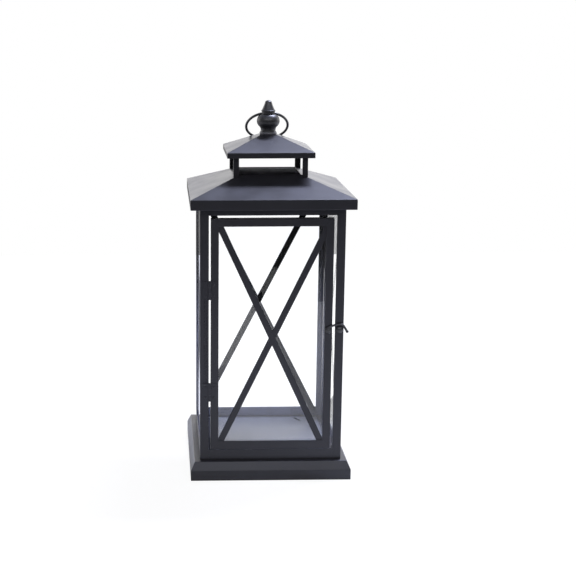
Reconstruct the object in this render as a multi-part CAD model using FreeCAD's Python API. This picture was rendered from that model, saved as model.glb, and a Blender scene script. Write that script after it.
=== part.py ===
import FreeCAD, Part
import math
import os

# Square candle lantern. Millimetres, +Z up, door in the -Y face, origin under the middle of the base.

# Base tray, pressed from sheet.
base_half = 87.3
base_skirt_top = 11.25
base_top = 20.6
base_top_half = 83.0
base_rim_half = 79.0
base_opening_half = 62.0
floor_half = 67.3
sheet = 1.0
overcut = 1.0

# Glazed body, welded from thin angle.
body_half = 77.0
angle_thick = 0.9
post_leg = 9.4
body_top = 297.8
bottom_rail_top = 32.0
top_rail_bottom = 290.8

# Crossed braces, glass and the bent tabs that hold it. The feet and heads are the places, left and right,
# where the strips cross the lower and the upper edge of their opening, seen from outside.
brace_width = 7.0
brace_thick = 0.5
brace_lap = 4.5
door_brace_feet = (-54.5, 53.8)
door_brace_heads = (-55.7, 58.7)
side_brace_feet = (-62.0, 70.3)
side_brace_heads = (-60.9, 68.7)
glass_thick = 2.0
glass_half = 70.5
glass_top = 295.5
tab_thick = 0.8
tab_width = 10.0
tab_spread = 42.0
tab_foot = 3.4
tab_height = 8.7

# Door, a mitred frame of the same angle.
door_left = -65.5
door_right = 64.8
door_bottom = 32.6
door_top = 287.4
stile_width = 8.4
door_bottom_width = 9.5
door_depth = 8.4
door_tab_reach = 5.6
door_tab_levels = (60.0, 160.0, 260.0)
door_glass_gap = 0.5

# Hinges with folded knuckles on a loose pin.
hinge_x = -66.65
hinge_y = -78.5
hinge_levels = (98.1, 210.8)
hinge_height = 19.0
knuckle_radius = 1.6
knuckle_gap = 0.15
pin_radius = 0.8
running_gap = 0.05
leaf_thick = 0.8
leaf_reach = 7.4
pin_head_radius = 1.3
pin_head_height = 0.7
rivet_offset = 4.6
rivet_spread = 5.6
rivet_head_radius = 1.2
rivet_head_height = 0.7
rivet_shank_radius = 0.75
rivet_tail_radius = 1.1
rivet_tail_height = 0.4

# Hook latch of bent wire, its pivot on the door and its keeper stud on the post.
pivot_x = 60.6
pivot_z = 166.4
keeper_x = 72.6
keeper_z = 166.8
keeper_radius = 3.6
keeper_wall = 2.4
keeper_dome = 1.4
stud_shank_radius = 1.15
stud_tail_radius = 1.9
stud_tail_height = 0.4
pivot_collar_radius = 2.0
pivot_collar_height = 0.3
pivot_head_radius = 2.2
pivot_head_dome = 0.9
hook_wire_radius = 1.25
hook_y = -78.6
hook_ball_radius = 1.6
hook_rise = 38.0
hook_bends = ((66.4, 171.7), (72.4, 172.75), (77.2, 170.4))
hook_tail = 6.6

# Main roof, pressed from sheet with a turned-down fascia and an open throat.
roof_half = 87.25
roof_fascia_top = 308.7
roof_slope = 0.364
roof_throat_half = 33.5
roof_soffit_half = 67.5

# Chimney posts and cap roof.
chimney_half = 40.0
chimney_leg = 6.0
chimney_thick = 1.0
cap_half = 47.0
cap_bottom = 347.2
cap_fascia_top = 353.1
cap_slope = 0.4085
cap_flat_half = 9.8
cap_soffit_half = 33.0

# Turned finial, its stud and the carrying ring through its neck.
# Each turned step of the finial is given by radius and height over the cap, from its foot to its top.
finial_collar = ((8.8, 0.0), (9.5, 1.65), (8.7, 3.3))
finial_cove = ((8.3, 3.6), (8.1, 5.2), (9.7, 8.8))
finial_bulb = ((9.7, 8.8), (12.5, 15.0), (8.8, 21.6))
finial_neck = ((7.2, 22.2), (7.2, 24.8))
finial_flange = ((7.2, 24.8), (7.8, 25.7), (7.2, 26.6))
finial_bell = ((7.2, 26.6), (5.4, 30.3), (3.5, 35.7))
finial_tip_dome = 1.5
ring_axis = 391.4
ring_radius = 22.9
ring_wire = 1.4
ring_slack = 0.38
ring_rest_gap = 0.25
ring_hole_radius = 1.9
ring_hole_straight = 5.6
ring_hole_mouth = 12.0
ring_hole_mouth_radius = 4.2
stud_radius = 2.0
stud_hole_radius = 2.05
stud_bottom = 361.5
stud_top = 377.5
stud_hole_top = 379.0
washer_radius = 5.0
washer_thick = 1.0
nut_across_flats = 7.0
nut_height = 3.2

SIDES = ("front", "right", "back", "left")
CORNERS = ("front_left", "front_right", "back_right", "back_left")
CENTRE = FreeCAD.Vector(0, 0, 0)
UP = FreeCAD.Vector(0, 0, 1)
cap_flat_top = cap_fascia_top + (cap_half - cap_flat_half) * cap_slope


def point(x, y, z):
    return FreeCAD.Vector(x, y, z)


def box(x0, x1, y0, y1, z0, z1):
    return Part.makeBox(x1 - x0, y1 - y0, z1 - z0, point(x0, y0, z0))


def upright(x, y, z0, z1, radius):
    return Part.makeCylinder(radius, z1 - z0, point(x, y, z0), UP)


def drill(x, z, radius):
    # A hole through the front skin of the body or door, and through a leaf on it.
    start = point(x, -body_half - leaf_thick - overcut, z)
    return Part.makeCylinder(radius, leaf_thick + angle_thick + 2 * overcut, start, point(0, 1, 0))


def quarter_turns(shape, turns):
    copy = shape.copy()
    copy.rotate(CENTRE, UP, 90.0 * turns)
    return copy


def fuse(pieces):
    return pieces[0].multiFuse(pieces[1:]).removeSplitter()


def square(half, z):
    return [point(-half, -half, z), point(half, -half, z), point(half, half, z), point(-half, half, z)]


def flat_face(corners):
    return Part.Face(Part.makePolygon(corners + [corners[0]]))


def tapered_block(half_low, z_low, half_high, z_high):
    # A solid with square ends and four plane sides.
    low = square(half_low, z_low)
    high = square(half_high, z_high)
    faces = [flat_face(low), flat_face(high)]
    for i in range(4):
        j = (i + 1) % 4
        faces.append(flat_face([low[i], low[j], high[j], high[i]]))
    return Part.makeSolid(Part.makeShell(faces))


def square_tube(half, z0, z1):
    return box(-half, half, -half, half, z0, z1)


def front_plate(outline, y0, y1):
    # A plate parallel to the front, cut to an outline of x and z.
    return flat_face([point(x, y0, z) for x, z in outline]).extrude(point(0, y1 - y0, 0))


def profile_arc(a, b, c):
    return Part.Arc(point(a[0], 0, a[1]), point(b[0], 0, b[1]), point(c[0], 0, c[1])).toShape()


def profile_line(a, b):
    return Part.LineSegment(point(a[0], 0, a[1]), point(b[0], 0, b[1])).toShape()


def profile_dome(rim, height):
    # The part of a sphere that closes a turned outline, from its rim to the axis.
    radius, level = rim
    sphere = (radius ** 2 + height ** 2) / (2 * height)
    middle = radius / 2
    rise = math.sqrt(sphere ** 2 - middle ** 2) - (sphere - height)
    return profile_arc(rim, (middle, level + rise), (0.0, level + height))


def turned_stud(steps, dome, x, z):
    # A turned stud on the front skin: steps are radius and height outward from the skin.
    tip = (0.0, steps[-1][1] + dome)
    foot = (0.0, steps[0][1])
    corners = [foot] + steps
    edges = [profile_line(a, b) for a, b in zip(corners[:-1], corners[1:])]
    edges.append(profile_dome(steps[-1], dome))
    edges.append(profile_line(tip, foot))
    stud = Part.Face(Part.Wire(edges)).revolve(CENTRE, UP, 360.0)
    stud.rotate(CENTRE, point(1, 0, 0), 90.0)
    stud.translate(point(x, -body_half, z))
    return stud


def stud_tail():
    # Shank through the front skin with its end spread behind.
    back = -angle_thick
    return [(stud_tail_radius, back - stud_tail_height), (stud_tail_radius, back), (stud_shank_radius, back)]


# Base

def make_base():
    steep = (base_top - base_skirt_top) / (base_half - base_top_half)
    drop = sheet * math.sqrt(1.0 + steep ** 2)
    inner_half = base_half - sheet
    inner_low = base_skirt_top + sheet * steep - drop
    inner_top = base_top - sheet
    inner_top_half = inner_half - (inner_top - inner_low) / steep
    outside = fuse([square_tube(base_half, 0.0, base_skirt_top),
                    tapered_block(base_half, base_skirt_top, base_top_half, base_top)])
    inside = fuse([square_tube(inner_half, sheet, inner_low),
                   tapered_block(inner_half, inner_low, inner_top_half, inner_top)])
    tray = outside.cut(inside)
    tray = tray.cut(square_tube(base_rim_half, -overcut, sheet))
    return tray.cut(square_tube(base_opening_half, inner_top - overcut, base_top + overcut))


def make_floor():
    return square_tube(floor_half, base_top, base_top + angle_thick)


# Body frame

def make_corner_post():
    outer = box(-body_half, -body_half + post_leg, -body_half, -body_half + post_leg, base_top, body_top)
    hollow = -body_half + angle_thick
    return outer.cut(box(hollow, 0.0, hollow, 0.0, base_top, body_top))


def make_corner_posts():
    post = make_corner_post()
    front_left = post
    for x, z in frame_rivet_places():
        front_left = front_left.cut(drill(x, z, rivet_shank_radius + running_gap))
    front_right = quarter_turns(post, 1).cut(drill(keeper_x, keeper_z, stud_shank_radius + running_gap))
    return {"post_front_left": front_left, "post_front_right": front_right,
            "post_back_right": quarter_turns(post, 2), "post_back_left": quarter_turns(post, 3)}


def make_rails():
    reach = body_half - post_leg
    skin = -body_half + angle_thick
    foot = base_top + angle_thick
    lip = body_top - angle_thick
    bottom = fuse([box(-reach, reach, -body_half, skin, base_top, bottom_rail_top),
                   box(-reach, reach, -body_half, -reach, base_top, foot)])
    top = fuse([box(-reach, reach, -body_half, skin, top_rail_bottom, body_top),
                box(-reach, reach, -body_half, -reach, lip, body_top)])
    rails = {}
    for turns, side in enumerate(SIDES):
        rails["bottom_rail_" + side] = quarter_turns(bottom, turns)
        rails["top_rail_" + side] = quarter_turns(top, turns)
    return rails


# Braces, glass and tabs

def brace_bar(x0, z0, x1, z1, y0, y1, frame):
    # A flat strip along a diagonal, its ends trimmed behind the frame around it.
    length = math.hypot(x1 - x0, z1 - z0)
    across_x = -(z1 - z0) / length * brace_width / 2
    across_z = (x1 - x0) / length * brace_width / 2
    run_x = (x1 - x0) / length * brace_width * 2
    run_z = (z1 - z0) / length * brace_width * 2
    outline = [(x0 - run_x - across_x, z0 - run_z - across_z), (x1 + run_x - across_x, z1 + run_z - across_z),
               (x1 + run_x + across_x, z1 + run_z + across_z), (x0 - run_x + across_x, z0 - run_z + across_z)]
    left, right, low, high = frame
    return front_plate(outline, y0, y1).common(box(left, right, y0, y1, low, high))


def crossed_braces(opening, feet, heads, y0):
    # One strip runs through; the other is cut at the crossing and welded to it.
    left, right, low, high = opening
    frame = (left - brace_lap, right + brace_lap, low - brace_lap, high + brace_lap)
    y1 = y0 + brace_thick
    through = brace_bar(heads[0], high, feet[1], low, y0, y1, frame)
    cut_pair = brace_bar(feet[0], low, heads[1], high, y0, y1, frame).cut(through)
    return through, cut_pair


def make_side_panels():
    # Built in the front plane and turned to the three fixed sides.
    reach = body_half - post_leg
    skin = -body_half + angle_thick
    opening = (-reach, reach, bottom_rail_top, top_rail_bottom)
    through, cut_pair = crossed_braces(opening, side_brace_feet, side_brace_heads, skin)
    glass_front = skin + brace_thick
    glass_back = glass_front + glass_thick
    foot = base_top + angle_thick
    lip = body_top - angle_thick
    glass = box(-glass_half, glass_half, glass_front, glass_back, foot, glass_top)
    tab_back = glass_back + tab_thick
    tabs = []
    for x in (-tab_spread, tab_spread):
        left = x - tab_width / 2
        right = x + tab_width / 2
        tabs.append(fuse([box(left, right, glass_back, tab_back, foot, foot + tab_height),
                          box(left, right, glass_back, tab_back + tab_foot, foot, foot + tab_thick)]))
        tabs.append(fuse([box(left, right, glass_back, tab_back, top_rail_bottom + sheet, lip),
                          box(left, right, glass_back, tab_back + tab_foot, lip - tab_thick, lip)]))
    group = Part.makeCompound(tabs)
    panels = {}
    for turns, side in ((1, "right"), (2, "back"), (3, "left")):
        panels["brace_through_" + side] = quarter_turns(through, turns)
        panels["brace_cut_" + side] = quarter_turns(cut_pair, turns)
        panels["glass_" + side] = quarter_turns(glass, turns)
        panels["glass_tabs_" + side] = quarter_turns(group, turns)
    return panels


# Door

def door_member(outer, inner, edge, first, second):
    # One mitred angle of the door: front leg and edge leg between two corners of the frame.
    skin = -body_half + angle_thick
    back = -body_half + door_depth
    front = front_plate([outer[first], outer[second], inner[second], inner[first]], -body_half, skin)
    side = front_plate([outer[first], outer[second], edge[second], edge[first]], skin, back)
    return fuse([front, side])


def rectangle(left, right, low, high):
    return [(left, low), (right, low), (right, high), (left, high)]


def make_door_frame():
    outer = rectangle(door_left, door_right, door_bottom, door_top)
    inner = rectangle(door_left + stile_width, door_right - stile_width,
                      door_bottom + door_bottom_width, door_top - stile_width)
    edge = rectangle(door_left + angle_thick, door_right - angle_thick,
                     door_bottom + angle_thick, door_top - angle_thick)
    hinge_stile = door_member(outer, inner, edge, 0, 3)
    for x, z in door_rivet_places():
        hinge_stile = hinge_stile.cut(drill(x, z, rivet_shank_radius + running_gap))
    latch_stile = door_member(outer, inner, edge, 1, 2)
    latch_stile = latch_stile.cut(drill(pivot_x, pivot_z, stud_shank_radius + running_gap))
    return {"door_stile_hinge": hinge_stile, "door_stile_latch": latch_stile,
            "door_rail_bottom": door_member(outer, inner, edge, 0, 1),
            "door_rail_top": door_member(outer, inner, edge, 3, 2)}


def make_door_panel():
    skin = -body_half + angle_thick
    opening = (door_left + stile_width, door_right - stile_width,
               door_bottom + door_bottom_width, door_top - stile_width)
    through, cut_pair = crossed_braces(opening, door_brace_feet, door_brace_heads, skin)
    inside_left = door_left + angle_thick
    inside_right = door_right - angle_thick
    glass_front = skin + brace_thick
    glass_back = glass_front + glass_thick
    glass = box(inside_left + door_glass_gap, inside_right - door_glass_gap, glass_front, glass_back,
                door_bottom + angle_thick, door_top - angle_thick - door_glass_gap)
    tabs = []
    for z in door_tab_levels:
        low = z - tab_width / 2
        high = z + tab_width / 2
        for edge, inward in ((inside_left, 1.0), (inside_right, -1.0)):
            pad = sorted((edge, edge + inward * tab_thick))
            tongue = sorted((edge, edge + inward * door_tab_reach))
            tabs.append(fuse([box(pad[0], pad[1], glass_back, glass_back + tab_foot, low, high),
                              box(tongue[0], tongue[1], glass_back, glass_back + tab_thick, low, high)]))
    return {"door_brace_through": through, "door_brace_cut": cut_pair,
            "door_glass": glass, "door_glass_tabs": Part.makeCompound(tabs)}


# Hinges

def frame_rivet_places():
    x = hinge_x - rivet_offset
    return [(x, level + shift) for level in hinge_levels for shift in (-rivet_spread, rivet_spread)]


def door_rivet_places():
    x = hinge_x + rivet_offset
    return [(x, level + shift) for level in hinge_levels for shift in (-rivet_spread, rivet_spread)]


def knuckle_bands(level):
    # Heights of the three knuckles. The outer two fold from the frame leaf
    # and the middle one from the door leaf.
    low = level - hinge_height / 2
    third = hinge_height / 3
    bands = []
    for i in range(3):
        below = knuckle_gap / 2 if i > 0 else 0.0
        above = knuckle_gap / 2 if i < 2 else 0.0
        bands.append((low + i * third + below, low + (i + 1) * third - above))
    return bands


def hinge_leaf(level, own, other, side):
    low = level - hinge_height / 2
    high = level + hinge_height / 2
    reach = sorted((hinge_x, hinge_x + side * leaf_reach))
    back = -body_half
    leaf = box(reach[0], reach[1], back - leaf_thick, back, low, high)
    clear = knuckle_radius + knuckle_gap
    for z0, z1 in other:
        leaf = leaf.cut(upright(hinge_x, hinge_y, z0 - knuckle_gap, z1 + knuckle_gap, clear))
    overhang = sorted((hinge_x, hinge_x - side * knuckle_radius))
    leaf = leaf.cut(box(overhang[0], overhang[1], back - leaf_thick, back, low, high))
    gap_edge = sorted((hinge_x, hinge_x + side * (clear - 2 * knuckle_gap)))
    leaf = leaf.cut(box(gap_edge[0], gap_edge[1], hinge_y + knuckle_radius / 2, back, low, high))
    leaf = fuse([leaf] + [upright(hinge_x, hinge_y, z0, z1, knuckle_radius) for z0, z1 in own])
    leaf = leaf.cut(upright(hinge_x, hinge_y, low - overcut, high + overcut, pin_radius + running_gap))
    for shift in (-rivet_spread, rivet_spread):
        leaf = leaf.cut(drill(hinge_x + side * rivet_offset, level + shift, rivet_shank_radius + running_gap))
    return leaf


def hinge_pin(level):
    low = level - hinge_height / 2
    high = level + hinge_height / 2
    shank = upright(hinge_x, hinge_y, low, high, pin_radius)
    lower = upright(hinge_x, hinge_y, low - pin_head_height, low, pin_head_radius)
    upper = upright(hinge_x, hinge_y, high, high + pin_head_height, pin_head_radius)
    return fuse([shank, lower, upper])


def make_rivets(places):
    back = -angle_thick
    steps = [(rivet_tail_radius, back - rivet_tail_height), (rivet_tail_radius, back),
             (rivet_shank_radius, back), (rivet_shank_radius, leaf_thick), (rivet_head_radius, leaf_thick)]
    return Part.makeCompound([turned_stud(steps, rivet_head_height, x, z) for x, z in places])


def make_hinges():
    pieces = {"hinge_rivets_frame": make_rivets(frame_rivet_places()),
              "hinge_rivets_door": make_rivets(door_rivet_places())}
    for name, level in zip(("lower", "upper"), hinge_levels):
        bands = knuckle_bands(level)
        frame_knuckles = [bands[0], bands[2]]
        door_knuckles = [bands[1]]
        pieces["hinge_leaf_frame_" + name] = hinge_leaf(level, frame_knuckles, door_knuckles, -1.0)
        pieces["hinge_leaf_door_" + name] = hinge_leaf(level, door_knuckles, frame_knuckles, 1.0)
        pieces["hinge_pin_" + name] = hinge_pin(level)
    return pieces


# Latch

def make_latch_pivot():
    head_seat = -body_half - hook_y + hook_wire_radius + running_gap
    collar = [(pivot_collar_radius, 0.0), (pivot_collar_radius, pivot_collar_height)]
    journal = [(stud_shank_radius, pivot_collar_height), (stud_shank_radius, head_seat)]
    steps = stud_tail() + [(stud_shank_radius, 0.0)] + collar + journal + [(pivot_head_radius, head_seat)]
    return turned_stud(steps, pivot_head_dome, pivot_x, pivot_z)


def make_latch_keeper():
    steps = stud_tail() + [(stud_shank_radius, 0.0), (keeper_radius, 0.0), (keeper_radius, keeper_wall)]
    return turned_stud(steps, keeper_dome, keeper_x, keeper_z)


def bent_wire(start, heading, stops):
    # A path of arcs through the stops. Each arc leaves in the direction in which the last one arrived.
    edges = []
    for stop in stops:
        chord = stop - start
        along = chord * (1.0 / chord.Length)
        forward = heading.dot(along)
        aside = heading - along * forward
        middle = (start + stop) * 0.5 + aside * (chord.Length / 2 / (1.0 + forward))
        edges.append(Part.Arc(start, middle, stop).toShape())
        heading = along * (2 * forward) - heading
        start = stop
    return edges, heading


def make_latch_hook():
    # Round wire: an eye around the pivot, an arch over the keeper and a ball to lift it by.
    eye_radius = stud_shank_radius + running_gap + hook_wire_radius
    eye = Part.makeTorus(eye_radius, hook_wire_radius, point(pivot_x, hook_y, pivot_z), point(0, 1, 0))
    start = point(pivot_x, hook_y, pivot_z + eye_radius)
    rise = math.radians(hook_rise)
    heading = point(math.cos(rise), 0, math.sin(rise))
    bends = [point(x, hook_y, z) for x, z in hook_bends]
    edges, leaving = bent_wire(start, heading, bends)
    tip = bends[-1] + leaving * hook_tail
    edges.append(Part.LineSegment(bends[-1], tip).toShape())
    section = Part.Wire([Part.makeCircle(hook_wire_radius, start, heading)])
    arm = Part.Wire(edges).makePipeShell([section], True, True)
    ball = Part.makeSphere(hook_ball_radius, tip)
    return fuse([eye, arm, ball])


# Roofs

def pressed_roof(half, low, fascia_top, slope, top_half, soffit_half):
    # Sheet roof: fascia, four slopes and an inward flange under the eaves.
    drop = sheet * math.sqrt(1.0 + slope ** 2)
    inner_half = half - sheet
    inner_low = fascia_top + sheet * slope - drop
    top = fascia_top + (half - top_half) * slope
    outside = fuse([square_tube(half, low, fascia_top), tapered_block(half, fascia_top, top_half, top)])
    inside = fuse([square_tube(inner_half, low + sheet, inner_low),
                   tapered_block(inner_half, inner_low, top_half, top - drop)])
    return outside.cut(inside).cut(square_tube(soffit_half, low - overcut, low + sheet))


def make_main_roof():
    roof = pressed_roof(roof_half, body_top, roof_fascia_top, roof_slope, roof_throat_half, roof_soffit_half)
    return roof.cut(square_tube(roof_throat_half, roof_fascia_top, cap_bottom))


def make_chimney_posts():
    # Angle strips cut at the foot to the pitch of the roof they stand on.
    inner = -chimney_half + chimney_thick
    tip = -chimney_half + chimney_leg
    strip = box(-chimney_half, tip, -chimney_half, tip, roof_fascia_top, cap_bottom)
    strip = strip.cut(box(inner, 0.0, inner, 0.0, roof_fascia_top, cap_bottom))
    throat_top = roof_fascia_top + (roof_half - roof_throat_half) * roof_slope
    strip = strip.cut(tapered_block(roof_half, roof_fascia_top, roof_throat_half, throat_top))
    return {"chimney_post_" + corner: quarter_turns(strip, turns) for turns, corner in enumerate(CORNERS)}


def make_cap_roof():
    cap = pressed_roof(cap_half, cap_bottom, cap_fascia_top, cap_slope, cap_flat_half, cap_soffit_half)
    return cap.cut(upright(0.0, 0.0, cap_fascia_top, cap_flat_top + overcut, stud_hole_radius))


# Finial and ring

def make_finial():
    # Turned outline from the foot up. A step of three points is an arc, and straight cuts join the steps.
    foot = cap_flat_top
    last = (0.0, foot)
    edges = []
    for step in (finial_collar, finial_cove, finial_bulb, finial_neck, finial_flange, finial_bell):
        places = [(radius, foot + height) for radius, height in step]
        if places[0] != last:
            edges.append(profile_line(last, places[0]))
        if len(places) == 3:
            edges.append(profile_arc(*places))
        else:
            edges.append(profile_line(*places))
        last = places[-1]
    edges.append(profile_dome(last, finial_tip_dome))
    edges.append(profile_line((0.0, last[1] + finial_tip_dome), (0.0, foot)))
    body = Part.Face(Part.Wire(edges)).revolve(CENTRE, UP, 360.0)
    body.rotate(CENTRE, UP, 90.0)
    body = body.cut(upright(0.0, 0.0, foot - overcut, stud_hole_top, stud_hole_radius))
    return body.cut(make_ring_hole())


def make_ring_hole():
    # A straight bore in the middle, flared at both mouths so that the curved ring can turn in it.
    outline = [(0.0, ring_hole_mouth), (ring_hole_mouth_radius, ring_hole_mouth),
               (ring_hole_radius, ring_hole_straight), (ring_hole_radius, -ring_hole_straight),
               (ring_hole_mouth_radius, -ring_hole_mouth), (0.0, -ring_hole_mouth)]
    hole = flat_face([point(r, 0, along) for r, along in outline]).revolve(CENTRE, UP, 360.0)
    hole.rotate(CENTRE, point(0, 1, 0), 90.0)
    hole.translate(point(0, 0, ring_axis))
    return hole


def make_finial_fixing():
    under = cap_flat_top - sheet * math.sqrt(1.0 + cap_slope ** 2)
    seat = under - washer_thick
    stud = upright(0.0, 0.0, stud_bottom, stud_top, stud_radius)
    washer = upright(0.0, 0.0, seat, under, washer_radius)
    washer = washer.cut(upright(0.0, 0.0, seat, under, stud_hole_radius))
    corner = nut_across_flats / math.sqrt(3.0)
    bottom = seat - nut_height
    turns = [math.pi / 3 * i for i in range(6)]
    outline = [point(corner * math.cos(turn), corner * math.sin(turn), bottom) for turn in turns]
    nut = flat_face(outline).extrude(point(0, 0, nut_height))
    nut = nut.cut(upright(0.0, 0.0, bottom, seat, stud_hole_radius))
    return {"finial_stud": stud, "finial_washer": washer, "finial_nut": nut}


def make_carry_ring():
    # The ring lies back until its lowest point is just clear of the cap's back slope.
    pitch = math.atan(cap_slope)
    apex = cap_fascia_top + cap_half * cap_slope
    reach = 2 * ring_radius - ring_slack
    fall = ring_axis - apex - (ring_wire + ring_rest_gap) / math.cos(pitch)
    lean = math.acos(fall * math.cos(pitch) / reach) - pitch
    away = ring_radius - ring_slack
    middle = point(0, away * math.sin(lean), ring_axis - away * math.cos(lean))
    return Part.makeTorus(ring_radius, ring_wire, middle, point(0, math.cos(lean), math.sin(lean)))


nodes = {"base_plinth": make_base(), "floor_plate": make_floor()}
nodes.update(make_corner_posts())
nodes.update(make_rails())
nodes.update(make_side_panels())
nodes.update(make_door_frame())
nodes.update(make_door_panel())
nodes.update(make_hinges())
nodes["latch_pivot"] = make_latch_pivot()
nodes["latch_keeper"] = make_latch_keeper()
nodes["latch_hook"] = make_latch_hook()
nodes["main_roof"] = make_main_roof()
nodes.update(make_chimney_posts())
nodes["cap_roof"] = make_cap_roof()
nodes["finial"] = make_finial()
nodes.update(make_finial_fixing())
nodes["carry_ring"] = make_carry_ring()

os.makedirs("parts", exist_ok=True)
for name, shape in nodes.items():
    shape.exportStep("parts/" + name + ".step")
    print(name, len(shape.Solids), shape.isValid(), round(shape.Volume, 2))
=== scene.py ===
import math

import bpy
from mathutils import Matrix, Vector


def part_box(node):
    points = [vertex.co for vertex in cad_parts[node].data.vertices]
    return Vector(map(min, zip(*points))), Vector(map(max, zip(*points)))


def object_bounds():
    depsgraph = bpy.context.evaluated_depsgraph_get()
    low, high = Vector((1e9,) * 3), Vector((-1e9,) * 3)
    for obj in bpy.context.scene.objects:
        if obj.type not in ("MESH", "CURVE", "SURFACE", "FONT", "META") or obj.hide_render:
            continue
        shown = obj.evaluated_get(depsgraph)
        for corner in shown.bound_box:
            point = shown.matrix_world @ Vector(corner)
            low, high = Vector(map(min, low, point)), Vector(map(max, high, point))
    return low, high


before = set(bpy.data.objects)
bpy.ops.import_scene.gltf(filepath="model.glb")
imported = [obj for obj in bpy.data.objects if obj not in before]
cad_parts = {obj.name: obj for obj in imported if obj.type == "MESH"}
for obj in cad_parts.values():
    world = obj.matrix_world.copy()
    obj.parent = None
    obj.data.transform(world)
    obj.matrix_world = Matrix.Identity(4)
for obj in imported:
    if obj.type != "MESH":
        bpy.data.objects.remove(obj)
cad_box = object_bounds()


# Base tray
# One steel sheet pressed into a square tray with an upright skirt and a sloped shoulder. Like all the
# sheet and angle of the lantern it is powder coated satin black. The body stands welded on its top.

class Layer:
    """A socket in a node tree, so that sums on it are written as Python."""

    def __init__(self, tree, socket=None):
        self.tree = tree
        self.socket = socket

    def node(self, kind, settings=None, inputs=None, output=0):
        """Adds a node: first its settings, then a value or a link for each socket that is named."""
        made = self.tree.nodes.new(kind)
        for name, value in (settings or {}).items():
            setattr(made, name, value)
        for name, value in (inputs or {}).items():
            if isinstance(value, Layer):
                self.tree.links.new(value.socket, made.inputs[name])
            else:
                made.inputs[name].default_value = value
        return Layer(self.tree, made.outputs[output] if made.outputs else None)

    def maths(self, operation, *values):
        return self.node("ShaderNodeMath", {"operation": operation}, dict(enumerate(values)))

    def __add__(self, other):
        return self.maths("ADD", self, other)

    def __radd__(self, other):
        return self.maths("ADD", other, self)

    def __sub__(self, other):
        return self.maths("SUBTRACT", self, other)

    def __rsub__(self, other):
        return self.maths("SUBTRACT", other, self)

    def __mul__(self, other):
        return self.maths("MULTIPLY", self, other)

    def __rmul__(self, other):
        return self.maths("MULTIPLY", other, self)

    def __abs__(self):
        return self.maths("ABSOLUTE", self)

    def larger(self, other):
        return self.maths("MAXIMUM", self, other)

    def axis(self, letter):
        """The X, Y or Z share of a place or a direction."""
        return self.node("ShaderNodeSeparateXYZ", {}, {"Vector": self}, letter)

    def dot(self, other):
        """How far two directions agree."""
        return self.node("ShaderNodeVectorMath", {"operation": "DOT_PRODUCT"}, {0: self, 1: other}, "Value")

    def between(self, low, high):
        """0 below low, 1 above high and a soft step from one to the other."""
        return self.node("ShaderNodeMapRange", {"interpolation_type": "SMOOTHSTEP"},
                         {"Value": self, "From Min": low, "From Max": high})

    def tint(self, from_colour, to_colour):
        """One colour where this is 0, the other where it is 1."""
        return self.node("ShaderNodeMix", {"data_type": "RGBA"}, {0: self, 6: from_colour, 7: to_colour}, 2)

    def noise(self, per_metre, detail=2.0, roughness=0.5):
        """Soft random spots, about so many to a metre."""
        return self.node("ShaderNodeTexNoise", {}, {"Vector": self, "Scale": per_metre, "Detail": detail,
                                                    "Roughness": roughness})


def new_finish(name):
    material = bpy.data.materials.new(name)
    material.use_nodes = True
    material.node_tree.nodes.clear()
    return material, Layer(material.node_tree)


def powder_coat(name, roughness=0.36, dust=0.25, high_inner_light=0.0):
    """Baked powder paint: faint orange peel, cloudy gloss, dust on what faces up and thin polished edges.
    What faces inward is painted pale blue-grey, painted light for the light inside the glass, full low down
    and only a share of it high up."""
    thin_black, full_black = (0.0138, 0.0131, 0.0147, 1), (0.0192, 0.0184, 0.0202, 1)
    polished_edge = (0.075, 0.075, 0.085, 1)
    # Painted light: this pale blue-grey on inward faces stands in for light inside the glass; settled dust
    # shares it.
    pale_dust_and_painted_light = (0.22, 0.235, 0.33, 1)
    cool_gloss = (0.9, 0.92, 1.0, 1)
    inner_light_full_below, inner_light_faded_above = 0.08, 0.24
    clear_within, inner_light_beyond = 0.04, 0.06
    edge_reach = 0.0009
    peel_depth = 0.00005
    edge_share, dust_share = 0.35, 0.3
    material, coat = new_finish(name)
    place = coat.node("ShaderNodeTexCoord", output="Object")
    facing = coat.node("ShaderNodeTexCoord", output="Normal")
    peel = place.noise(per_metre=520.0, detail=3.0)
    grit = place.noise(per_metre=2400.0, detail=1.0)
    cloud = place.noise(per_metre=26.0, detail=4.0, roughness=0.6)
    scuff = place.noise(per_metre=90.0, detail=5.0, roughness=0.7)
    from_axis = coat.node("ShaderNodeVectorMath", {"operation": "MULTIPLY"}, {0: place, 1: (1, 1, 0)})
    # Painted light: inward faces turn pale, fully low down and fading higher up.
    inward = 1 - facing.dot(from_axis).between(-inner_light_beyond, -clear_within)
    high = place.axis("Z").between(inner_light_full_below, inner_light_faded_above)
    painted_light = inward * (1 - high * (1 - high_inner_light)) * (0.75 + cloud * 0.2)
    rounded = coat.node("ShaderNodeBevel", {"samples": 4}, {"Radius": edge_reach})
    flat = coat.node("ShaderNodeNewGeometry", output="Normal")
    edge = (1 - rounded.dot(flat)).between(0.02, 0.25) * scuff.between(0.38, 0.7)
    settled = facing.axis("Z").between(0.25, 0.95) * cloud.between(0.35, 0.75) * dust
    black = cloud.tint(thin_black, full_black)
    lightened = (edge * edge_share).tint(black, polished_edge)
    dust_and_painted_light = (settled * dust_share + painted_light).tint(lightened, pale_dust_and_painted_light)
    gloss = roughness + (cloud - 0.5) * 0.16 + settled * 0.2 - edge * 0.06
    relief = peel * 0.75 + grit * 0.25
    bump = coat.node("ShaderNodeBump", {}, {"Strength": 0.35, "Distance": peel_depth, "Height": relief})
    paint = coat.node("ShaderNodeBsdfPrincipled", {}, {"Base Color": dust_and_painted_light, "Roughness": gloss, "IOR": 1.52,
                                                       "Specular Tint": cool_gloss, "Normal": bump})
    coat.node("ShaderNodeOutputMaterial", {}, {"Surface": paint})
    return material


def finish(node, material):
    """Gives a piece its finish."""
    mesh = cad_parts[node].data
    mesh.materials.clear()
    mesh.materials.append(material)


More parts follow.
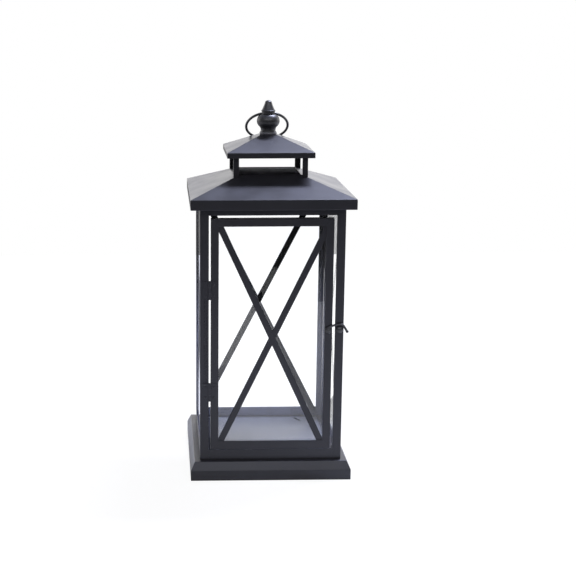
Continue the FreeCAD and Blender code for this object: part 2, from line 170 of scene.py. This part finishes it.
def soften(node, radius):
    """Rounds the cut and folded edges of a sheet piece, as deburring and paint do."""
    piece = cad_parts[node]
    weld = piece.modifiers.new("joined_faces", "WELD")
    weld.merge_threshold = 1e-6
    edge = piece.modifiers.new("soft_edges", "BEVEL")
    edge.width = radius
    edge.segments = 2
    edge.limit_method = "ANGLE"
    edge.angle_limit = math.radians(15)
    edge.use_clamp_overlap = True
    edge.miter_outer = "MITER_ARC"
    shade = piece.modifiers.new("flat_shading", "WEIGHTED_NORMAL")
    shade.mode = "FACE_AREA"
    shade.weight = 80


fold_radius = 0.0005
black_coat = powder_coat("black_powder_coat")
finish("base_plinth", black_coat)
soften("base_plinth", fold_radius)


# Floor plate
# A flat square of sheet that lies on the tray's rim inside the body and carries the candle. Its coat is
# painted a smeared light bluish grey, a painted reflection of the bright room. Along the front and the left
# it is painted matt black, a painted shade beside the door and the left rail, and near the back it is
# scraped, where something was dragged.

def painted_reflection_coat(name, low, high):
    """Coat painted a smeared grey as a painted reflection, with painted shade along two edges and a scrape.
    The shade and the scrape are placed from the plate's corners.
    """
    # Painted reflection: a smeared light bluish grey. Painted shade: matt black along the left and front
    # edges.
    thin_painted_reflection, thick_painted_reflection = (0.085, 0.092, 0.107, 1), (0.125, 0.133, 0.151, 1)
    shade_black, scraped_black = (0.045, 0.046, 0.053, 1), (0.011, 0.011, 0.013, 1)
    full_shade_left, reflection_from_left = low.x + 0.0053, low.x + 0.0173
    full_shade_front, reflection_from_front = low.y + 0.0213, low.y + 0.0513
    scrape_start = high - Vector((0.0271, 0.0018, 0.0))
    scrape_end = high - Vector((0.0207, 0.0143, 0.0))
    scrape_core, scrape_edge, scrape_stray = 0.0006, 0.0022, 0.004
    fade_outside, fade_inside = 0.002, 0.003
    smear_turn, smear_stretch = 0.55, 0.25
    grit_depth = 0.00002
    material, coat = new_finish(name)
    place = coat.node("ShaderNodeTexCoord", output="Object")
    painted_light = place.noise(per_metre=17.0, detail=5.0, roughness=0.6)
    stretched = coat.node("ShaderNodeMapping", {}, {"Vector": place, "Rotation": (0, 0, smear_turn),
                                                    "Scale": (smear_stretch, 1.0, 1.0)})
    smear = stretched.noise(per_metre=60.0, detail=3.0, roughness=0.6)
    grit = place.noise(per_metre=1500.0)
    run = scrape_end - scrape_start
    run_turn = math.atan2(run.y, run.x)
    turned = coat.node("ShaderNodeMapping", {"vector_type": "TEXTURE"},
                       {"Vector": place, "Location": scrape_start, "Rotation": (0, 0, run_turn)})
    along = turned.axis("X")
    aside = abs(turned.axis("Y") + (place.noise(per_metre=260.0) - 0.5) * scrape_stray)
    begun = along.between(-fade_outside, fade_inside)
    ended = along.between(run.length - fade_inside, run.length + fade_outside)
    scraped = begun * (1 - ended) * (1 - aside.between(scrape_core, scrape_edge))
    # Painted shade: towards the left and the front edge the grey gives way to matt black.
    unshaded_left = place.axis("X").between(full_shade_left, reflection_from_left)
    unshaded_front = place.axis("Y").between(full_shade_front, reflection_from_front)
    scraped_and_shaded = scraped.larger(1 - unshaded_left * unshaded_front)
    reflection_grey = (painted_light * 0.6 + smear * 0.4).between(0.3, 0.7).tint(thin_painted_reflection, thick_painted_reflection)
    black = scraped.tint(shade_black, scraped_black)
    relief = grit - scraped
    bump = coat.node("ShaderNodeBump", {}, {"Strength": 0.3, "Distance": grit_depth, "Height": relief})
    reflection_paint = coat.node("ShaderNodeBsdfPrincipled", {}, {"Base Color": reflection_grey, "Roughness": 0.28 + painted_light * 0.12,
                                                        "IOR": 1.45, "Normal": bump})
    matt = coat.node("ShaderNodeBsdfPrincipled", {}, {"Base Color": black, "Roughness": 1.0,
                                                      "Specular IOR Level": 0.0, "Normal": bump})
    marked = coat.node("ShaderNodeMixShader", {}, {0: scraped_and_shaded, 1: reflection_paint, 2: matt})
    coat.node("ShaderNodeOutputMaterial", {}, {"Surface": marked})
    return material


plate_radius = 0.0003
plate_low, plate_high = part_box("floor_plate")
finish("floor_plate", painted_reflection_coat("floor_plate_coat", plate_low, plate_high))
soften("floor_plate", plate_radius)


# Corner posts and rails
# Thin rolled angle, cut to length and welded into the body's frame: four posts on the tray's corners,
# and a rail between them at the foot and at the top of each side.

sides = ("front", "right", "back", "left")
corners = ("front_left", "front_right", "back_right", "back_left")
cut_radius = 0.0002
for corner in corners:
    finish("post_" + corner, black_coat)
    soften("post_" + corner, cut_radius)
for side in sides:
    for rail in ("bottom_rail_", "top_rail_"):
        finish(rail + side, black_coat)
        soften(rail + side, cut_radius)


# Crossed braces
# Flat steel strips on the diagonals of every side, in front of the glass. One strip runs through, the
# other is cut at the crossing and welded to it. Their coat keeps more of the pale painted inner light high
# up.

braces = ["door_brace_through", "door_brace_cut"]
glazed_sides = sides[1:]
for side in glazed_sides:
    braces += ["brace_through_" + side, "brace_cut_" + side]
# Painted light: the braces keep more of the pale inward colour high up.
brace_coat = powder_coat("brace_powder_coat", high_inner_light=0.4)
for brace in braces:
    finish(brace, brace_coat)
    soften(brace, cut_radius)


# Glass and its tabs
# Panes of plain 2 mm float glass behind the braces, held from inside by small bent tabs of coated sheet
# that are welded to the angle. Lamp light passes the panes without being bent.

def float_glass(name):
    """Clear glass that is faintly wavy and faintly smeared."""
    pane_colour, shadow_colour = (0.98, 0.987, 1.0, 1), (0.92, 0.925, 0.935, 1)
    wave_depth = 0.0004
    material, glass = new_finish(name)
    place = glass.node("ShaderNodeTexCoord", output="Object")
    smear = place.noise(per_metre=14.0, detail=4.0, roughness=0.65)
    wave = place.noise(per_metre=6.0, detail=1.0)
    bump = glass.node("ShaderNodeBump", {}, {"Strength": 0.05, "Distance": wave_depth, "Height": wave})
    pane = glass.node("ShaderNodeBsdfPrincipled", {}, {"Base Color": pane_colour, "IOR": 1.5,
                                                       "Roughness": smear.between(0.6, 0.85) * 0.02,
                                                       "Transmission Weight": 1.0, "Normal": bump})
    clear = glass.node("ShaderNodeBsdfTransparent", {}, {"Color": shadow_colour})
    from_lamp = glass.node("ShaderNodeLightPath", output="Is Shadow Ray")
    shown = glass.node("ShaderNodeMixShader", {}, {0: from_lamp, 1: pane, 2: clear})
    glass.node("ShaderNodeOutputMaterial", {}, {"Surface": shown})
    return material


clear_glass = float_glass("clear_float_glass")
finish("door_glass", clear_glass)
finish("door_glass_tabs", black_coat)
for side in glazed_sides:
    finish("glass_" + side, clear_glass)
    finish("glass_tabs_" + side, black_coat)


# Door frame
# Four lengths of the same thin angle as the posts, mitred and welded at the corners. The frame closes
# into the front opening, between the posts and the rails.

for member in ("door_stile_hinge", "door_stile_latch", "door_rail_bottom", "door_rail_top"):
    finish(member, black_coat)
    soften(member, cut_radius)


# Hinges
# Two small butt hinges of folded sheet on loose pins, riveted to the left post and the door, and coated
# together with the frame.

for height in ("lower", "upper"):
    finish("hinge_leaf_frame_" + height, black_coat)
    finish("hinge_leaf_door_" + height, black_coat)
    finish("hinge_pin_" + height, black_coat)
finish("hinge_rivets_frame", black_coat)
finish("hinge_rivets_door", black_coat)


# Hook latch
# A hook of bent wire with a ball end. It turns on a shouldered pin in the door and drops over a stud on
# the right post. It is dipped in a smoother black enamel.

def black_enamel(name, roughness, highlight_below=0.0):
    """Dipped enamel: smoother than the powder coat, with slow runs, and painted grey below a height as a
    painted highlight.
    """
    thin_black, full_black = (0.006, 0.006, 0.0075, 1), (0.012, 0.012, 0.0145, 1)
    highlight_grey = (0.16, 0.16, 0.178, 1)
    highlight_fade = 0.0004
    run_depth = 0.00005
    material, coat = new_finish(name)
    place = coat.node("ShaderNodeTexCoord", output="Object")
    runs = place.noise(per_metre=160.0)
    cloud = place.noise(per_metre=70.0, detail=3.0, roughness=0.6)
    # Painted highlight: below the given height the black is painted grey.
    above_highlight = place.axis("Z").between(highlight_below - highlight_fade, highlight_below + highlight_fade)
    painted_highlight = (1 - above_highlight) * (0.4 + cloud * 0.6)
    black = cloud.tint(thin_black, full_black)
    lightened = painted_highlight.tint(black, highlight_grey)
    gloss = roughness + (cloud - 0.5) * 0.12
    bump = coat.node("ShaderNodeBump", {}, {"Strength": 0.3, "Distance": run_depth, "Height": runs})
    paint = coat.node("ShaderNodeBsdfPrincipled", {}, {"Base Color": lightened, "Roughness": gloss, "IOR": 1.7,
                                                       "Normal": bump})
    coat.node("ShaderNodeOutputMaterial", {}, {"Surface": paint})
    return material


enamel = black_enamel("black_enamel", roughness=0.33)
for part in ("latch_hook", "latch_pivot", "latch_keeper"):
    finish(part, enamel)


# Main roof, chimney posts and cap
# Two square roofs of pressed sheet with turned-down edges. The cap stands on four strips of small angle
# over the main roof's open throat, so that hot air leaves between them.

roof_coat = powder_coat("roof_powder_coat", roughness=0.37, dust=0.15)
for roof in ("main_roof", "cap_roof"):
    finish(roof, roof_coat)
    soften(roof, fold_radius)
chimney_radius = 0.0003
for corner in corners:
    finish("chimney_post_" + corner, black_coat)
    soften("chimney_post_" + corner, chimney_radius)


# Finial and its fixing
# A finial turned from bar and enamelled, screwed to the cap by a plated stud, washer and nut under it.
# Its foot is painted grey, a painted highlight where the collar catches the light.

def zinc_plate(name):
    """Bright plating with a cloudy bloom."""
    dark_zinc, light_zinc = (0.5, 0.5, 0.52, 1), (0.66, 0.66, 0.64, 1)
    bloom_depth = 0.00002
    material, metal = new_finish(name)
    place = metal.node("ShaderNodeTexCoord", output="Object")
    bloom = place.noise(per_metre=240.0, detail=4.0, roughness=0.6)
    bump = metal.node("ShaderNodeBump", {}, {"Strength": 0.2, "Distance": bloom_depth, "Height": bloom})
    plate = metal.node("ShaderNodeBsdfPrincipled", {}, {"Base Color": bloom.tint(dark_zinc, light_zinc),
                                                        "Roughness": 0.28 + bloom * 0.2, "Metallic": 1.0,
                                                        "Normal": bump})
    metal.node("ShaderNodeOutputMaterial", {}, {"Surface": plate})
    return material


# Painted highlight: the finial's foot is painted grey up to this height.
highlight_height = 0.0028
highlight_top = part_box("finial")[0].z + highlight_height
finish("finial", black_enamel("finial_enamel", roughness=0.41, highlight_below=highlight_top))
zinc = zinc_plate("zinc_plate")
for part in ("finial_stud", "finial_washer", "finial_nut"):
    finish(part, zinc)


# Carrying ring
# Round steel wire bent to a ring through the finial's cross hole, with its ends butt welded. It has the
# same black enamel as the hook.

finish("carry_ring", enamel)


# Table
# A plain white table top under the lantern. It ends a little way in front of it, so that the lower part of
# the door glass mirrors the table, and the upper part the dim room beyond its edge. What is seen of it
# through a pane is made brighter by what the pane takes away.

table_left, table_right = -1.8, 1.8
table_front, table_back = -0.92, 1.2
table_drop = 0.0002
table_level = cad_box[0].z - table_drop
outline = [(table_left, table_front, table_level), (table_right, table_front, table_level),
           (table_right, table_back, table_level), (table_left, table_back, table_level)]
top = bpy.data.meshes.new("table_top")
top.from_pydata(outline, [], [(0, 1, 2, 3)])
table = bpy.data.objects.new("table_top", top)
bpy.context.scene.collection.objects.link(table)

dark_grain, light_grain = (0.7, 0.7, 0.7, 1), (0.74, 0.74, 0.74, 1)
plain_white, pane_white = (1.08, 1.08, 1.08, 1), (1.29, 1.29, 1.29, 1)
seen_share, mirrored_share = 0.85, 0.3
white_table, paint = new_finish("white_table")
grain = paint.node("ShaderNodeTexCoord", output="Object").noise(per_metre=40.0, detail=3.0)
lit = paint.node("ShaderNodeBsdfPrincipled", {}, {"Base Color": grain.tint(dark_grain, light_grain),
                                                  "Roughness": 1.0, "Specular IOR Level": 0.0})
seen = paint.node("ShaderNodeLightPath", output="Is Camera Ray")
through = paint.node("ShaderNodeLightPath", output="Is Transmission Ray")
mirrored = paint.node("ShaderNodeLightPath", output="Is Glossy Ray")
white = paint.node("ShaderNodeEmission", {}, {"Color": through.tint(plain_white, pane_white)})
share = (seen + through) * seen_share + mirrored * mirrored_share
shown = paint.node("ShaderNodeMixShader", {}, {0: share, 1: lit, 2: white})
paint.node("ShaderNodeOutputMaterial", {}, {"Surface": shown})
top.materials.append(white_table)


# Room
# A small studio: white behind down to the level of the table, dim in front and darkest low down there, with
# a band of light high in front and a cool glow overhead. What the camera sees directly and through glass is
# plain white.

room_light, low_front_loss = 0.2, 0.16
back_light, front_light, top_light = 2.0, 2.1, 0.2
pane_makeup = 1.22
plain_tone, neutral_tone, cool_tone = (1, 1, 1, 1), (1.0, 0.99, 1.0, 1), (0.8, 0.85, 1.08, 1)
world = bpy.data.worlds.new("studio_room")
world.use_nodes = True
world.node_tree.nodes.clear()
bpy.context.scene.world = world
room = Layer(world.node_tree)
way = room.node("ShaderNodeTexCoord", output="Generated")
behind, above = way.axis("Y"), way.axis("Z")
lower_wall = above.between(-0.14, -0.02) * (1 - above.between(0.17, 0.5) * 0.85)
back_glow = behind.between(-0.2, 0.6) * lower_wall
high_band = above.between(0.3, 0.47) * (1 - above.between(0.58, 0.75))
front_glow = (1 - behind.between(-0.8, -0.4)) * high_band
top_glow = above.between(0.4, 0.9)
low_front = (1 - behind.between(-0.3, 0.1)) * (1 - above.between(-0.05, 0.25))
glow = back_glow * back_light + front_glow * front_light + top_glow * top_light
brightness = room_light - low_front * low_front_loss + glow
tone = above.between(0.35, 0.85).tint(neutral_tone, cool_tone)
camera_ray = room.node("ShaderNodeLightPath", output="Is Camera Ray")
pane_ray = room.node("ShaderNodeLightPath", output="Is Transmission Ray")
mirrorings = room.node("ShaderNodeLightPath", output="Glossy Depth")
scatterings = room.node("ShaderNodeLightPath", output="Diffuse Depth")
through_pane = pane_ray * (1 - (mirrorings + scatterings).between(0.0, 1.0))
direct = camera_ray + through_pane
strength = camera_ray + through_pane * pane_makeup + (1 - direct) * brightness
sky = room.node("ShaderNodeBackground", {}, {"Color": direct.tint(tone, plain_tone), "Strength": strength})
room.node("ShaderNodeOutputWorld", {}, {"Surface": sky})


# Lights
# One long soft box, high behind the lantern and to the right, that lies from left to right. The cap keeps
# its light off the upper part of the main roof.

strip_place, strip_aim = Vector((0.74, 0.57, 1.95)), Vector((0.74, 0.0, 0.3))
strip_width, strip_depth = 0.95, 0.26
strip_radiance = 82.0
lamp = bpy.data.lights.new("strip_box", "AREA")
lamp.shape = "RECTANGLE"
lamp.size = strip_width
lamp.size_y = strip_depth
lamp.energy = strip_radiance * math.pi * strip_width * strip_depth
lamp.color = (0.73, 0.77, 1.0)
strip = bpy.data.objects.new("strip_box", lamp)
bpy.context.scene.collection.objects.link(strip)
strip_turn = (strip_aim - strip_place).to_track_quat("-Z", "Y").to_matrix().to_4x4()
strip.matrix_world = Matrix.Translation(strip_place) @ strip_turn
strip.visible_camera = False
strip.visible_transmission = False


# Camera
# At the photographed height and place, a little left of the middle and looking slightly down. It faces the
# front nearly squarely and the frame is shifted sideways, so that the level edges stay level.

eye = Vector((-0.1184, -1.4150, 0.5099))
yaw, pitch, roll = math.radians(1.021), math.radians(12.491), math.radians(0.171)
level_ahead = Vector((math.sin(yaw), math.cos(yaw), 0.0))
level_right = Vector((math.cos(yaw), -math.sin(yaw), 0.0))
upright = Vector((0.0, 0.0, 1.0))
ahead = level_ahead * math.cos(pitch) - upright * math.sin(pitch)
tilted_up = upright * math.cos(pitch) + level_ahead * math.sin(pitch)
image_right = level_right * math.cos(roll) - tilted_up * math.sin(roll)
image_up = level_right * math.sin(roll) + tilted_up * math.cos(roll)
lens = bpy.data.cameras.new("view")
lens.sensor_width = 36.0
lens.lens = 80.63
lens.shift_x = 0.1814
camera = bpy.data.objects.new("view", lens)
bpy.context.scene.collection.objects.link(camera)
camera_turn = Matrix((image_right, image_up, -ahead)).transposed().to_4x4()
camera.matrix_world = Matrix.Translation(eye) @ camera_turn
bpy.context.scene.camera = camera
bpy.context.scene.view_settings.view_transform = "Standard"
